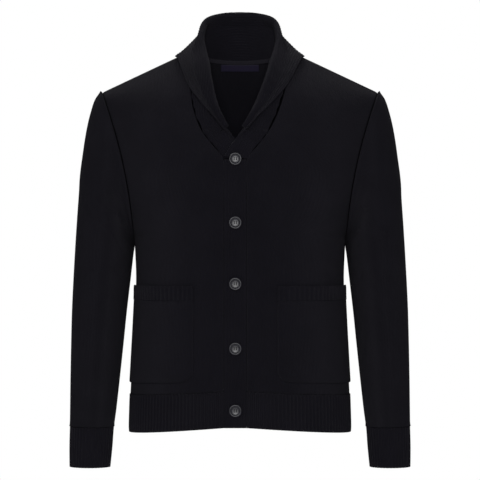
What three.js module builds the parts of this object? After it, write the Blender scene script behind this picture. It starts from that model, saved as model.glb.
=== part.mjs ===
// Shawl collar cardigan in mid-weight knit, filled out as if worn, with nobody inside.
// Millimetres, +Z up. The front faces -Y and the wearer's left is +X.
// The origin is the centre of the neck, level with the tops of the shoulder seams.

import * as THREE from 'three';

// Cloth and seams
const bodyWall = 3;
const bandWall = 4;
const seamGap = 0.3;
const layerGap = 0.9;
const ribHeight = 1.1;
const armholeEase = 2.7;
const sleeveClear = 2.6;

// Button closure
const closureX = -8.2;
const bandWidth = 40;
const bandRibs = 8;
const bandProud = 0.8;
const bandTopZ = -190;
const buttonHeights = [-189.3, -300, -406.4, -519.3, -627.5];
const buttonRadius = 11;
const buttonThick = 4.2;
const buttonSides = 18;
const buttonOut = 0.5;
const topButtonOut = 1.1;

// Rib trims
const hemTopZ = -604;
const hemBottomZ = -671;
const frontHemRibs = 36;
const backHemRibs = 76;
const cuffTopZ = -661;
const cuffRibs = 38;
const cuffRibHeight = 0.9;

// Pockets, measured on the front
const pocketMouthZ = -410;
const pocketRibZ = -436;
const pocketFootZ = -583;
const pocketInnerX = 73;
const pocketCorner = 22;
const pocketWall = 2.6;
const pocketGape = 2;
const pocketRibs = 24;
const pocketSideS = 0.992;

// Neck tape and label, on the inside of the back
const tapeHalfWidth = 57;
const tapeDepth = 6.5;
const tapeWall = 1.2;
const tapeLift = 2.25;
const labelHalfWidth = 35;
const labelDrop = 9;
const labelDepth = 13;
const labelWall = 0.8;

// Armhole: from the underarm up to the end of the shoulder seam
const underarm = new THREE.Vector3(188.3, 2, -330);
const shoulderEnd = new THREE.Vector3(246, 4, -66);
const armholeFront = 62;
const armholeBack = 68;
const armholeBow = 11;
const neckPoint = new THREE.Vector3(84, 0, 10);
const backNeck = new THREE.Vector3(0, 62, -4);

// Body below the underarm: half width, depth to front and back, rise of the hem in front
const TORSO = [
  { z: hemBottomZ, half: 197.5, front: 110, back: 106, lift: 13 },
  { z: hemTopZ, half: 195.3, front: 112, back: 106, lift: 9 },
  { z: -540, half: 191.8, front: 115, back: 102, lift: 4 },
  { z: -470, half: 188, front: 118, back: 98, lift: 0 },
  { z: -402, half: 185.2, front: 121, back: 98, lift: 0 },
  { z: -355, half: 186.6, front: 126, back: 102, lift: 0 },
];

// Front above the underarm: neck edge from the closure line, armhole angle, roundness
const CHEST = [
  { z: -318, edge: 20, depth: 129, shift: closureX, arm: 0, turn: 90 },
  { z: -282, edge: 20, depth: 130, shift: closureX, arm: 30, turn: 80 },
  { z: -238, edge: 20, depth: 129, shift: closureX, arm: 60, turn: 70 },
  { z: -190, edge: 20.3, depth: 125.5, shift: closureX, arm: 82, turn: 62 },
  { z: -165, edge: 39.4, depth: 119, shift: closureX, arm: 98, turn: 56 },
  { z: -138.7, edge: 59, depth: 110, shift: closureX, arm: 112, turn: 50 },
  { z: -102.8, edge: 74.6, depth: 95, shift: -6.5, arm: 127, turn: 44 },
  { z: -67, edge: 82.7, depth: 76, shift: -4, arm: 142, turn: 36 },
  { z: -30, edge: 87.6, depth: 45, shift: -1, arm: 158, turn: 24 },
  { z: 10, edge: 84, depth: 0, shift: 0, arm: 180, turn: 10 },
];

// Back above the underarm: height and depth at the middle, armhole angle, roundness
const BLADES = [
  { z: -318, depth: 106, arm: 0, turn: 90 },
  { z: -282, depth: 111, arm: 30, turn: 82 },
  { z: -238, depth: 115, arm: 60, turn: 74 },
  { z: -190, depth: 117, arm: 82, turn: 68 },
  { z: -150, depth: 115, arm: 98, turn: 62 },
  { z: -112, depth: 110, arm: 112, turn: 56 },
  { z: -78, depth: 101, arm: 127, turn: 50 },
  { z: -50, depth: 90, arm: 142, turn: 42 },
  { z: -26, depth: 77, arm: 158, turn: 30 },
];

// Sleeve: inner and outer edge of each ring, its depth each way from the middle
const SLEEVE = [
  { xIn: 188.9, zIn: -331, xOut: 256, zOut: -80, mid: 4, front: 63, back: 68, bow: 8 },
  { xIn: 189, zIn: -332, xOut: 263.5, zOut: -102, mid: 4, front: 64, back: 68, bow: 5 },
  { xIn: 189.1, zIn: -333, xOut: 270, zOut: -128, mid: 5, front: 65, back: 68, bow: 2 },
  { xIn: 189.2, zIn: -335, xOut: 276, zOut: -163, mid: 5, front: 66, back: 68, bow: 0 },
  { xIn: 189.4, zIn: -338, xOut: 281.5, zOut: -208, mid: 6, front: 66, back: 67, bow: 0 },
  { xIn: 189.9, zIn: -344, xOut: 286, zOut: -262, mid: 6, front: 66, back: 66, bow: 0 },
  { xIn: 192, zIn: -358, xOut: 290.5, zOut: -328, mid: 6, front: 64, back: 64, bow: 0 },
  { xIn: 197, zIn: -402, xOut: 294.3, zOut: -396, mid: 4, front: 60, back: 60, bow: 0 },
  { xIn: 203.2, zIn: -456, xOut: 296.8, zOut: -454, mid: 0, front: 56, back: 56, bow: 0 },
  { xIn: 208.7, zIn: -512, xOut: 298, zOut: -512, mid: -5, front: 51, back: 51, bow: 0 },
  { xIn: 214.8, zIn: -572, xOut: 298.7, zOut: -572, mid: -12, front: 46, back: 46, bow: 0 },
  { xIn: 221, zIn: -630, xOut: 299, zOut: -630, mid: -19, front: 41, back: 41, bow: 0 },
  { xIn: 225, zIn: cuffTopZ, xOut: 299.3, zOut: cuffTopZ, mid: -22, front: 38, back: 38, bow: 0 },
  { xIn: 227.5, zIn: -696, xOut: 300, zOut: -696, mid: -24.5, front: 36.5, back: 36.5, bow: 0 },
  { xIn: 231, zIn: -732, xOut: 299.6, zOut: -732, mid: -27, front: 35, back: 35, bow: 0 },
];

// Collar from the top of the button band to the middle of the back: seam, crest, edge of the fall.
// Widths are half widths from a line that moves from the closure to the middle of the neck.
const COLLAR = [
  { sx: 20.3, sy: -124.3, sz: -189.7, cx: -20, cy: -125.6, cz: -184, ex: -20, ey: -125.6, ez: -184 },
  { sx: 39.4, sy: -117.5, sz: -165, cx: -5, cy: -123.5, cz: -160.6, ex: -4.5, ey: -124, ez: -160.4 },
  { sx: 59, sy: -108.5, sz: -138.7, cx: 13.6, cy: -120, cz: -132, ex: 21.5, ey: -126, ez: -135 },
  { sx: 70.5, sy: -98.5, sz: -112, cx: 27.3, cy: -112, cz: -107.6, ex: 40, ey: -119, ez: -113.5 },
  { sx: 79, sy: -86, sz: -85, cx: 37.7, cy: -97, cz: -81.5, ex: 64.5, ey: -103, ez: -87 },
  { sx: 84.6, sy: -68, sz: -56, cx: 48.2, cy: -75, cz: -46.6, ex: 88.3, ey: -79, ez: -55.6 },
  { sx: 87.6, sy: -45, sz: -30, cx: 56.4, cy: -46, cz: -12, ex: 102.6, ey: -49, ez: -23 },
  { sx: 87, sy: -20, sz: -6, cx: 64.7, cy: -18, cz: 16, ex: 112, ey: -17, ez: -1 },
  { sx: 84, sy: 0, sz: 10, cx: 69.5, cy: 8, cz: 43, ex: 114.5, ey: 12, ez: -0.5 },
  { sx: 72.7, sy: 31, sz: 5, cx: 66, cy: 37, cz: 66, ex: 100, ey: 52, ez: 2 },
  { sx: 42, sy: 53.7, sz: -1, cx: 40, cy: 58, cz: 77, ex: 58, ey: 82, ez: 3 },
  { sx: 0, sy: 62, sz: -4, cx: 0, cy: 65, cz: 80, ex: 0, ey: 93, ez: 1 },
];
const rollRadius = 5;
const collarStart = 0.03;
const napeFrom = 0.31;
const napeFull = 0.37;
const underDrop = 5;
const collarSegments = 14;
const collarSteps = 17;

const degree = Math.PI / 180;
const bodyHeight = neckPoint.z - hemBottomZ;

function lerp(a, b, f) {
  return a + (b - a) * f;
}

function ease(low, high, value) {
  const f = Math.min(Math.max((value - low) / (high - low), 0), 1);
  return f * f * (3 - 2 * f);
}

// A smooth curve through points that sit at uneven places along it
function curveAt(points, places, t) {
  const last = points.length - 1;
  let i = 0;
  while (i < last - 1 && t > places[i + 1]) {
    i += 1;
  }
  const slope = (k) => {
    const before = Math.max(k - 1, 0);
    const after = Math.min(k + 1, last);
    const step = places[after] - places[before];
    return points[after].clone().sub(points[before]).divideScalar(step);
  };
  const span = places[i + 1] - places[i];
  const f = (t - places[i]) / span;
  const g = 1 - f;
  return points[i].clone().multiplyScalar(g * g * (1 + 2 * f))
    .addScaledVector(points[i + 1], f * f * (3 - 2 * f))
    .addScaledVector(slope(i), f * g * g * span)
    .addScaledVector(slope(i + 1), -f * f * g * span);
}

// The places of values in a list, scaled to run from 0 to 1
function placesOf(values) {
  const first = values[0];
  const range = values[values.length - 1] - first;
  return values.map((value) => (value - first) / range);
}

// The curve between two places in a list of values
function placeOf(values, value) {
  return (value - values[0]) / (values[values.length - 1] - values[0]);
}

// Points of the squarish quarter round that every body row follows
function quarter(angle) {
  const fullness = 2.4;
  const sine = Math.sin(angle);
  const cosine = Math.cos(angle);
  const sum = Math.abs(sine) ** fullness + Math.abs(cosine) ** fullness;
  const reach = sum ** (1 / fullness);
  return { across: sine / reach, deep: cosine / reach };
}

// One row of a panel, from its inner end to its outer end, turning round the body
function roundRow(inner, outer, turnDegrees) {
  const end = quarter(turnDegrees * degree);
  return (s) => {
    const here = quarter(turnDegrees * degree * s);
    const across = here.across / end.across;
    const deep = (1 - here.deep) / (1 - end.deep);
    return new THREE.Vector3(
      lerp(inner.x, outer.x, across),
      lerp(inner.y, outer.y, deep),
      lerp(inner.z, outer.z, across),
    );
  };
}

// A point of the armhole seam; 0 is the underarm and 180 the shoulder, front or back
function armholePoint(angleDegrees, facing) {
  const angle = angleDegrees * degree;
  const up = (1 - Math.cos(angle)) / 2;
  const sine = Math.sin(angle);
  const point = underarm.clone().lerp(shoulderEnd, up);
  point.x -= armholeBow * sine * sine;
  point.y += facing < 0 ? -armholeFront * sine : armholeBack * sine;
  return point;
}

function mirrored(point, side) {
  return new THREE.Vector3(point.x * side, point.y, point.z);
}

// A surface through rows: s runs along a row and t from the first row to the last
function loft(rows, places) {
  return (s, t) => curveAt(rows.map((row) => row(s)), places, t);
}

// Outer face of one front, from the button band to the side seam and armhole
function frontSurface(side) {
  const rows = [];
  for (const row of TORSO) {
    const inner = new THREE.Vector3(closureX + side * bandWidth / 2, -row.front, row.z + row.lift);
    rows.push(roundRow(inner, new THREE.Vector3(side * row.half, 0, row.z), 90));
  }
  for (const row of CHEST) {
    const inner = new THREE.Vector3(row.shift + side * row.edge, -row.depth, row.z);
    rows.push(roundRow(inner, mirrored(armholePoint(row.arm, -1), side), row.turn));
  }
  return loft(rows, placesOf([...TORSO, ...CHEST].map((row) => row.z)));
}

const frontHeights = [...TORSO, ...CHEST].map((row) => row.z);

// Top edge of the back: half of the round neckline, then the shoulder seam
const neckShare = 0.36;
function backTopRow(s) {
  if (s < neckShare) {
    const angle = s / neckShare * 90 * degree;
    const up = (s / neckShare) ** 2;
    const x = neckPoint.x * Math.sin(angle);
    const y = backNeck.y * Math.cos(angle);
    return new THREE.Vector3(x, y, lerp(backNeck.z, neckPoint.z, up));
  }
  return neckPoint.clone().lerp(shoulderEnd, (s - neckShare) / (1 - neckShare));
}

// Outer face of the back, from one side seam (s = -1) to the other (s = 1)
function backSurface() {
  const rows = [];
  for (const row of TORSO) {
    const middle = new THREE.Vector3(0, row.back, row.z);
    rows.push(roundRow(middle, new THREE.Vector3(row.half, 0, row.z), 90));
  }
  for (const row of BLADES) {
    const middle = new THREE.Vector3(0, row.depth, row.z);
    rows.push(roundRow(middle, armholePoint(row.arm, 1), row.turn));
  }
  rows.push(backTopRow);
  const half = loft(rows, placesOf(backHeights));
  return (s, t) => mirrored(half(Math.abs(s), t), s < 0 ? -1 : 1);
}

const backHeights = [...TORSO, ...BLADES].map((row) => row.z).concat(backNeck.z);

// Outer face of one sleeve and cuff; s goes once round, starting at the underarm
function sleeveSurface(side) {
  const armhole = (s) => {
    const angle = s * 360;
    const point = angle <= 180 ? armholePoint(angle, -1) : armholePoint(360 - angle, 1);
    point.x += armholeEase;
    return mirrored(point, side);
  };
  const ring = (row) => (s) => {
    const angle = s * 360 * degree;
    const out = (1 - Math.cos(angle)) / 2;
    const sine = Math.sin(angle);
    const x = lerp(row.xIn + sleeveClear, row.xOut, out) - row.bow * sine * sine;
    const y = row.mid - sine * (sine > 0 ? row.front : row.back);
    return new THREE.Vector3(side * x, y, lerp(row.zIn, row.zOut, out));
  };
  const rows = [armhole, ...SLEEVE.map(ring)];
  return loft(rows, placesOf(sleeveHeights));
}

// The sleeve's columns meet the rows of the front and back at the armhole
const armAngles = CHEST.map((row) => row.arm);
const sleeveSteps = [
  ...armAngles.map((angle) => angle / 360),
  ...armAngles.slice(1, -1).reverse().map((angle) => 1 - angle / 360),
];
const sleeveHeights = [shoulderEnd.z, ...SLEEVE.map((row) => row.zOut)].map((z) => -z);

// The way out of a surface at one point, found from four points close by
function outwardAt(surface, s, t, turned) {
  const near = 1e-3;
  const along = surface(s + near, t).sub(surface(s - near, t));
  const up = surface(s, t + near).sub(surface(s, t - near));
  return along.cross(up).normalize().multiplyScalar(turned);
}

// Where two walls meet at a ridge, both are cut along one direction
const ridgeHeart = new THREE.Vector3(150, 3, -160);
function ridgeNormal(point, own) {
  const heart = mirrored(ridgeHeart, Math.sign(point.x));
  const shared = point.clone().sub(heart).normalize();
  return own.clone().lerp(shared, ease(-200, -110, point.z)).normalize();
}

// Steps along a curve at even distances
function evenSteps(curve, from, to, count) {
  const samples = 200;
  const lengths = [0];
  let before = curve(from);
  for (let i = 1; i <= samples; i += 1) {
    const here = curve(lerp(from, to, i / samples));
    lengths.push(lengths[i - 1] + here.distanceTo(before));
    before = here;
  }
  const steps = [];
  let k = 0;
  for (let i = 0; i <= count; i += 1) {
    const wanted = lengths[samples] * i / count;
    while (k < samples - 1 && lengths[k + 1] < wanted) {
      k += 1;
    }
    const f = (wanted - lengths[k]) / (lengths[k + 1] - lengths[k]);
    steps.push(lerp(from, to, (k + f) / samples));
  }
  return steps;
}

function plainSteps(from, to, count) {
  return Array.from({ length: count + 1 }, (_, i) => lerp(from, to, i / count));
}

const materials = {
  knit: { color: 0x16151a, roughness: 0.95, metalness: 0 },
  rib: { color: 0x131217, roughness: 0.95, metalness: 0 },
  tape: { color: 0x1f1d24, roughness: 0.9, metalness: 0 },
  label: { color: 0x1b1926, roughness: 0.75, metalness: 0 },
  button: { color: 0x3a393f, roughness: 0.45, metalness: 0 },
};

function namedMesh(name, geometry, finish) {
  const mesh = new THREE.Mesh(geometry, new THREE.MeshStandardMaterial(materials[finish]));
  mesh.name = name;
  return mesh;
}

// A closed wall between two grids of points. The inner grid may have fewer columns,
// one for every few outer ones; a wall that goes all round joins its last column to its first.
function wallGeometry(outer, inner, round) {
  const rows = outer.length;
  const columns = outer[0].length;
  const innerColumns = inner[0].length;
  const outerSpans = round ? columns : columns - 1;
  const innerSpans = round ? innerColumns : innerColumns - 1;
  const stride = outerSpans / innerSpans;
  const start = rows * columns;
  const outerAt = (r, c) => r * columns + c % columns;
  const innerAt = (r, c) => start + r * innerColumns + c % innerColumns;
  const faces = [];
  const quad = (a, b, c, d) => faces.push(a, b, c, a, c, d);
  for (let r = 0; r < rows - 1; r += 1) {
    for (let c = 0; c < outerSpans; c += 1) {
      quad(outerAt(r, c), outerAt(r, c + 1), outerAt(r + 1, c + 1), outerAt(r + 1, c));
    }
    for (let c = 0; c < innerSpans; c += 1) {
      quad(innerAt(r, c), innerAt(r + 1, c), innerAt(r + 1, c + 1), innerAt(r, c + 1));
    }
    if (!round) {
      quad(outerAt(r, 0), outerAt(r + 1, 0), innerAt(r + 1, 0), innerAt(r, 0));
      const c = outerSpans;
      quad(outerAt(r, c), innerAt(r, innerSpans), innerAt(r + 1, innerSpans), outerAt(r + 1, c));
    }
  }
  const rim = (r, turned) => {
    const face = (a, b, c) => faces.push(...(turned ? [a, c, b] : [a, b, c]));
    for (let j = 0; j < innerSpans; j += 1) {
      for (let k = 0; k < stride; k += 1) {
        const c = j * stride + k;
        face(outerAt(r, c + 1), outerAt(r, c), innerAt(r, k < stride / 2 ? j : j + 1));
      }
      face(outerAt(r, j * stride + Math.ceil(stride / 2)), innerAt(r, j), innerAt(r, j + 1));
    }
  };
  rim(0, false);
  rim(rows - 1, true);
  const points = [...outer.flat(), ...inner.flat()];
  let volume = 0;
  for (let i = 0; i < faces.length; i += 3) {
    const [a, b, c] = [points[faces[i]], points[faces[i + 1]], points[faces[i + 2]]];
    volume += a.dot(b.clone().cross(c));
  }
  if (volume < 0) {
    faces.reverse();
  }
  const geometry = new THREE.BufferGeometry();
  const numbers = points.flatMap((point) => [point.x, point.y, point.z]);
  geometry.setAttribute('position', new THREE.Float32BufferAttribute(numbers, 3));
  geometry.setIndex(faces);
  geometry.computeVertexNormals();
  return geometry;
}

// A wall that follows a surface. raise lifts each outer column, which makes ribs;
// low and high are how far its two faces stand out from the surface.
function clothWall({ surface, turned, sList, tList, low, high, raise, stride, round, normalFor }) {
  const outer = [];
  const inner = [];
  for (const t of tList) {
    const outerRow = [];
    const innerRow = [];
    sList.forEach((s, column) => {
      const point = surface(s, t);
      const own = outwardAt(surface, s, t, turned);
      const normal = normalFor ? normalFor(point, own, s, t) : own;
      const lift = high + (raise ? raise(column, t, s) : 0);
      outerRow.push(point.clone().addScaledVector(normal, lift));
      if (column % (stride || 1) === 0) {
        innerRow.push(point.clone().addScaledVector(normal, low));
      }
    });
    outer.push(outerRow);
    inner.push(innerRow);
  }
  return wallGeometry(outer, inner, Boolean(round));
}

function zigzag(height) {
  return (column) => (column % 2 === 1 ? height : 0);
}

// Rows that hit every listed row of a table; the last few spans are cut finer
function tableSteps(heights, from, to, fineSpans = 0) {
  const steps = [from];
  for (let i = 1; i < heights.length; i += 1) {
    const parts = i >= heights.length - fineSpans ? 3 : 1;
    for (let k = 0; k < parts; k += 1) {
      const place = placeOf(heights, lerp(heights[i - 1], heights[i], k / parts));
      if (place > from + 0.01 && place < to - 0.004) {
        steps.push(place);
      }
    }
  }
  steps.push(to);
  return steps;
}

const halfGap = seamGap / 2;
const sideSeamS = 1 - halfGap / 200;
const heightGap = halfGap / bodyHeight;

// The shoulder seam is a ridge between front and back, cut upright
function shoulderNormal(surface) {
  return (point, own, s, t) => {
    const atSeam = t > 1 - 2 * heightGap;
    const pastNeck = Math.abs(point.x) > neckPoint.x - 1;
    if (atSeam && pastNeck) {
      const near = 1e-3;
      const inside = s - Math.sign(s || 1) * near;
      const along = surface(s, t).sub(surface(inside, t)).setY(0);
      const upright = new THREE.Vector3(-along.z, 0, along.x).normalize();
      return ridgeOrOwn(point, upright.z < 0 ? upright.negate() : upright, s);
    }
    return ridgeOrOwn(point, own, s);
  };
}

function ridgeOrOwn(point, own, s) {
  return Math.abs(s) > sideSeamS - 1e-6 ? ridgeNormal(point, own) : own;
}

function frontPanel(side, name) {
  const surface = frontSurface(side);
  const hem = placeOf(frontHeights, hemTopZ);
  const panel = clothWall({
    surface,
    turned: side,
    sList: evenSteps((s) => surface(s, 0.4), halfGap / 200, sideSeamS, 10),
    tList: tableSteps(frontHeights, hem + heightGap, 1 - heightGap, 2),
    low: -bodyWall,
    high: 0,
    normalFor: shoulderNormal(surface),
  });
  return namedMesh(name, panel, 'knit');
}

function backPanel() {
  const surface = backSurface();
  const hem = placeOf(backHeights, hemTopZ);
  const half = [0.12, 0.24, neckShare, 0.48, 0.6, 0.71, 0.81, 0.91, sideSeamS];
  const panel = clothWall({
    surface,
    turned: -1,
    sList: [...half.map((s) => -s).reverse(), 0, ...half],
    tList: tableSteps(backHeights, hem + heightGap, 1 - heightGap, 3),
    low: -bodyWall,
    high: 0,
    normalFor: shoulderNormal(surface),
  });
  return namedMesh('back', panel, 'knit');
}

function hemRib(name, surface, heights, turned, from, to, ribs) {
  const top = placeOf(heights, hemTopZ) - heightGap;
  const wall = clothWall({
    surface,
    turned,
    sList: evenSteps((s) => surface(s, top / 2), from, to, ribs * 2),
    tList: [0, top / 2, top],
    low: -bodyWall,
    high: -0.4,
    raise: zigzag(ribHeight),
    stride: 4,
  });
  return namedMesh(name, wall, 'rib');
}

function sleeve(side, name) {
  const surface = sleeveSurface(side);
  const end = placeOf(sleeveHeights, -cuffTopZ);
  const gap = halfGap / (sleeveHeights[sleeveHeights.length - 1] - sleeveHeights[0]);
  const wall = clothWall({
    surface,
    turned: side,
    sList: sleeveSteps,
    tList: tableSteps(sleeveHeights, 0, end - gap),
    low: -bodyWall,
    high: 0,
    round: true,
    normalFor: (point, own, s, t) => (t === 0 ? ridgeNormal(point, own) : own),
  });
  return namedMesh(name, wall, 'knit');
}

function cuff(side, name) {
  const surface = sleeveSurface(side);
  const start = placeOf(sleeveHeights, -cuffTopZ);
  const gap = halfGap / (sleeveHeights[sleeveHeights.length - 1] - sleeveHeights[0]);
  const wall = clothWall({
    surface,
    turned: side,
    sList: plainSteps(0, 1, cuffRibs * 2).slice(0, -1),
    tList: [start + gap, (start + 1) / 2, 1],
    low: -bodyWall,
    high: -0.3,
    raise: zigzag(cuffRibHeight),
    stride: 4,
    round: true,
  });
  return namedMesh(name, wall, 'rib');
}

// A straight strip of rib down the front, from the hem to the start of the collar
function bandSurface() {
  const left = frontSurface(1);
  return (s, t) => {
    const middle = left(0, t);
    return new THREE.Vector3(closureX + (s - 0.5) * bandWidth, middle.y, middle.z);
  };
}

function buttonBand(name, faceOut) {
  const surface = bandSurface();
  const top = placeOf(frontHeights, bandTopZ) - heightGap;
  const edge = halfGap / bandWidth;
  const wall = clothWall({
    surface,
    turned: 1,
    sList: plainSteps(edge, 1 - edge, bandRibs * 2),
    tList: plainSteps(0, top, 14),
    low: faceOut - bandWall,
    high: faceOut - ribHeight / 2,
    raise: zigzag(ribHeight / 2),
    stride: 4,
  });
  return namedMesh(name, wall, 'rib');
}

// Where a front reaches a given distance from the closure line, found by halving
function placeAcross(surface, t, wantedX) {
  let low = 0;
  let high = 1;
  for (let i = 0; i < 30; i += 1) {
    const middle = (low + high) / 2;
    if (Math.abs(surface(middle, t).x - closureX) < wantedX) {
      low = middle;
    } else {
      high = middle;
    }
  }
  return (low + high) / 2;
}

// The patch pocket's surface: s runs from its inner edge to the side seam
function pocketSurface(side) {
  const front = frontSurface(side);
  return (s, z) => {
    const t = placeOf(frontHeights, z);
    const deep = Math.min(Math.max(pocketFootZ + pocketCorner - z, 0), pocketCorner);
    const cut = pocketCorner - Math.sqrt(pocketCorner ** 2 - deep ** 2);
    const start = placeAcross(front, t, pocketInnerX + cut);
    return front(lerp(start, pocketSideS, s), t);
  };
}

function pocket(side, name) {
  const corner = [0, 0.08, 0.3, 0.6, 1].map((f) => pocketFootZ + pocketCorner * f);
  const upper = [-530, -500, -468, pocketRibZ - halfGap];
  const wall = clothWall({
    surface: pocketSurface(side),
    turned: side,
    sList: plainSteps(0, 1, 12),
    tList: [...corner, ...upper],
    low: layerGap,
    high: layerGap + pocketWall,
  });
  return namedMesh(name, wall, 'knit');
}

function pocketRib(side, name) {
  const surface = pocketSurface(side);
  const gape = (z) => pocketGape * ease(pocketRibZ, pocketMouthZ, z);
  const ribs = zigzag(ribHeight);
  const wall = clothWall({
    surface: (s, z) => {
      const out = outwardAt(surface, s, z, side);
      return surface(s, z).addScaledVector(out, gape(z) * Math.sin(Math.PI * Math.min(s + 0.1, 1)));
    },
    turned: side,
    sList: plainSteps(0, 1, pocketRibs * 2),
    tList: [pocketRibZ + halfGap, (pocketRibZ + pocketMouthZ) / 2, pocketMouthZ],
    low: layerGap,
    high: layerGap + pocketWall - 0.4,
    raise: ribs,
    stride: 4,
  });
  return namedMesh(name, wall, 'rib');
}

// Inside of the back below the neck seam: x across and depth below the seam
function backInside() {
  const back = backSurface();
  return (x, drop) => {
    const s = neckShare * Math.asin(x / neckPoint.x) / (90 * degree);
    const t = 1 - 3 * heightGap - drop / bodyHeight;
    return back(s, t);
  };
}

function neckTape() {
  const inside = backInside();
  const strip = clothWall({
    surface: inside,
    turned: 1,
    sList: plainSteps(-tapeHalfWidth, tapeHalfWidth, 12),
    tList: [tapeDepth + 0.5, 0.5],
    low: -bodyWall - tapeLift,
    high: -bodyWall - tapeLift - tapeWall,
  });
  return namedMesh('neck_tape', strip, 'tape');
}

function neckLabel() {
  const inside = backInside();
  const label = clothWall({
    surface: inside,
    turned: 1,
    sList: plainSteps(-labelHalfWidth, labelHalfWidth, 8),
    tList: [labelDrop + labelDepth, labelDrop + labelDepth / 2, labelDrop],
    low: -bodyWall - layerGap,
    high: -bodyWall - layerGap - labelWall,
  });
  return namedMesh('neck_label', label, 'label');
}

// One station of the collar as three points: neck seam, crest of the roll, edge of the fall
function collarStation(row, side) {
  const shiftAt = (z) => closureX * ease(20, -134, z);
  const place = (w, y, z) => new THREE.Vector3(shiftAt(z) + side * w, y, z);
  return {
    seam: place(row.sx, row.sy, row.sz),
    crest: place(row.cx, row.cy, row.cz),
    edge: place(row.ex, row.ey, row.ez),
  };
}

// The middle of the collar's wall. u runs from the under side's band round the back of the neck
// to the over side's band, and v from the neck seam over the roll to the free edge.
function collarSurface() {
  const under = COLLAR.map((row) => collarStation(row, -1));
  const over = COLLAR.slice(0, -1).reverse().map((row) => collarStation(row, 1));
  const stations = [...under, ...over];
  const lengths = [0];
  for (let i = 1; i < stations.length; i += 1) {
    lengths.push(lengths[i - 1] + stations[i].crest.distanceTo(stations[i - 1].crest));
  }
  const places = placesOf(lengths);
  const track = (key) => stations.map((station) => station[key]);
  const tracks = { seam: track('seam'), crest: track('crest'), edge: track('edge') };
  const point = (key, u) => curveAt(tracks[key], places, u);
  return (u, v) => {
    const seam = point('seam', u);
    const crest = point('crest', u);
    const edge = point('edge', u);
    const rise = crest.clone().sub(seam);
    const along = point('crest', u + 1e-3).sub(point('crest', u - 1e-3)).normalize();
    const up = rise.clone().addScaledVector(along, -rise.dot(along)).normalize();
    const out = along.clone().cross(up).normalize();
    const nape = ease(napeFrom, napeFull, Math.min(u, 1 - u));
    const here = rollPath(seam, crest, edge, up, out, nape)(v);
    const sunk = ease(0.86, 0.97, 1 - u) * (u < 0.5 ? 1 : 0);
    here.y += sunk * underDrop;
    return here;
  };
}

// Straight up the stand, round the roll and down the fall, in one smooth path. It starts a small
// share of its length above the seam in front, and one layer gap above it at the nape.
function rollPath(seam, crest, edge, up, out, nape) {
  const radius = lerp(rollRadius / 2, rollRadius, ease(0, 25, edge.distanceTo(crest)));
  const turnStart = crest.clone().addScaledVector(up, -radius);
  const centre = turnStart.clone().addScaledVector(out, radius);
  const reach = edge.clone().sub(centre);
  const high = reach.dot(up);
  const wide = reach.dot(out);
  const distance = Math.max(Math.hypot(high, wide), radius + 0.1);
  const bearing = Math.atan2(high, -wide);
  const touch = Math.acos(radius / distance);
  let turn = bearing + 2 * Math.PI - touch;
  while (turn > Math.PI * 1.5) {
    turn -= 2 * Math.PI;
  }
  turn = Math.max(turn, 0);
  const onRoll = (angle) => centre.clone()
    .addScaledVector(out, -radius * Math.cos(angle))
    .addScaledVector(up, radius * Math.sin(angle));
  const turnEnd = onRoll(turn);
  const standLength = seam.distanceTo(turnStart);
  const rollLength = 2 * radius * turn;
  const fallLength = turnEnd.distanceTo(edge);
  const total = standLength + rollLength + fallLength;
  const start = lerp(collarStart * total, layerGap, nape);
  return (v) => {
    const walked = lerp(start, total, v);
    if (walked < standLength) {
      return seam.clone().lerp(turnStart, walked / standLength);
    }
    if (walked < standLength + rollLength) {
      return onRoll((walked - standLength) / (2 * radius));
    }
    return turnEnd.clone().lerp(edge, (walked - standLength - rollLength) / fallLength);
  };
}

function shawlCollar() {
  const wall = clothWall({
    surface: collarSurface(),
    turned: 1,
    sList: plainSteps(0.0005, 0.9995, collarSteps * 2),
    tList: plainSteps(0, 1, collarSegments),
    low: -bandWall / 2,
    high: bandWall / 2,
  });
  return namedMesh('shawl_collar', wall, 'rib');
}

// A sewn-through button with a raised rim and a dished middle
function button(index) {
  const r = buttonRadius;
  const profile = [
    [0, 0],
    [r - 1.6, 0],
    [r, 1.3],
    [r, buttonThick - 0.9],
    [r - 1, buttonThick],
    [r - 2.6, buttonThick],
    [r - 3.8, buttonThick - 1.5],
    [0, buttonThick - 1.9],
  ].map(([radius, height]) => new THREE.Vector2(radius, height));
  const mesh = namedMesh(`button_${index + 1}`, new THREE.LatheGeometry(profile, buttonSides), 'button');
  const t = placeOf(frontHeights, buttonHeights[index]);
  const face = bandSurface()(0.5, Math.min(t, placeOf(frontHeights, bandTopZ)));
  mesh.rotation.x = Math.PI;
  const out = bandProud + seamGap + (index === 0 ? topButtonOut : buttonOut);
  mesh.position.set(closureX, face.y - out, buttonHeights[index]);
  return mesh;
}

const cardigan = new THREE.Group();
cardigan.add(backPanel());
cardigan.add(frontPanel(1, 'front_left'));
cardigan.add(frontPanel(-1, 'front_right'));
const hemStart = halfGap / 200;
cardigan.add(hemRib('hem_left', frontSurface(1), frontHeights, 1, hemStart, sideSeamS, frontHemRibs));
cardigan.add(hemRib('hem_right', frontSurface(-1), frontHeights, -1, hemStart, sideSeamS, frontHemRibs));
cardigan.add(hemRib('hem_back', backSurface(), backHeights, -1, -sideSeamS, sideSeamS, backHemRibs));
cardigan.add(sleeve(1, 'sleeve_left'));
cardigan.add(sleeve(-1, 'sleeve_right'));
cardigan.add(cuff(1, 'cuff_left'));
cardigan.add(cuff(-1, 'cuff_right'));
cardigan.add(shawlCollar());
cardigan.add(buttonBand('button_band_over', bandProud));
cardigan.add(buttonBand('button_band_under', bandProud - bandWall - layerGap));
cardigan.add(pocket(1, 'pocket_left'));
cardigan.add(pocket(-1, 'pocket_right'));
cardigan.add(pocketRib(1, 'pocket_rib_left'));
cardigan.add(pocketRib(-1, 'pocket_rib_right'));
cardigan.add(neckTape());
cardigan.add(neckLabel());
for (let i = 0; i < buttonHeights.length; i += 1) {
  cardigan.add(button(i));
}

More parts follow.
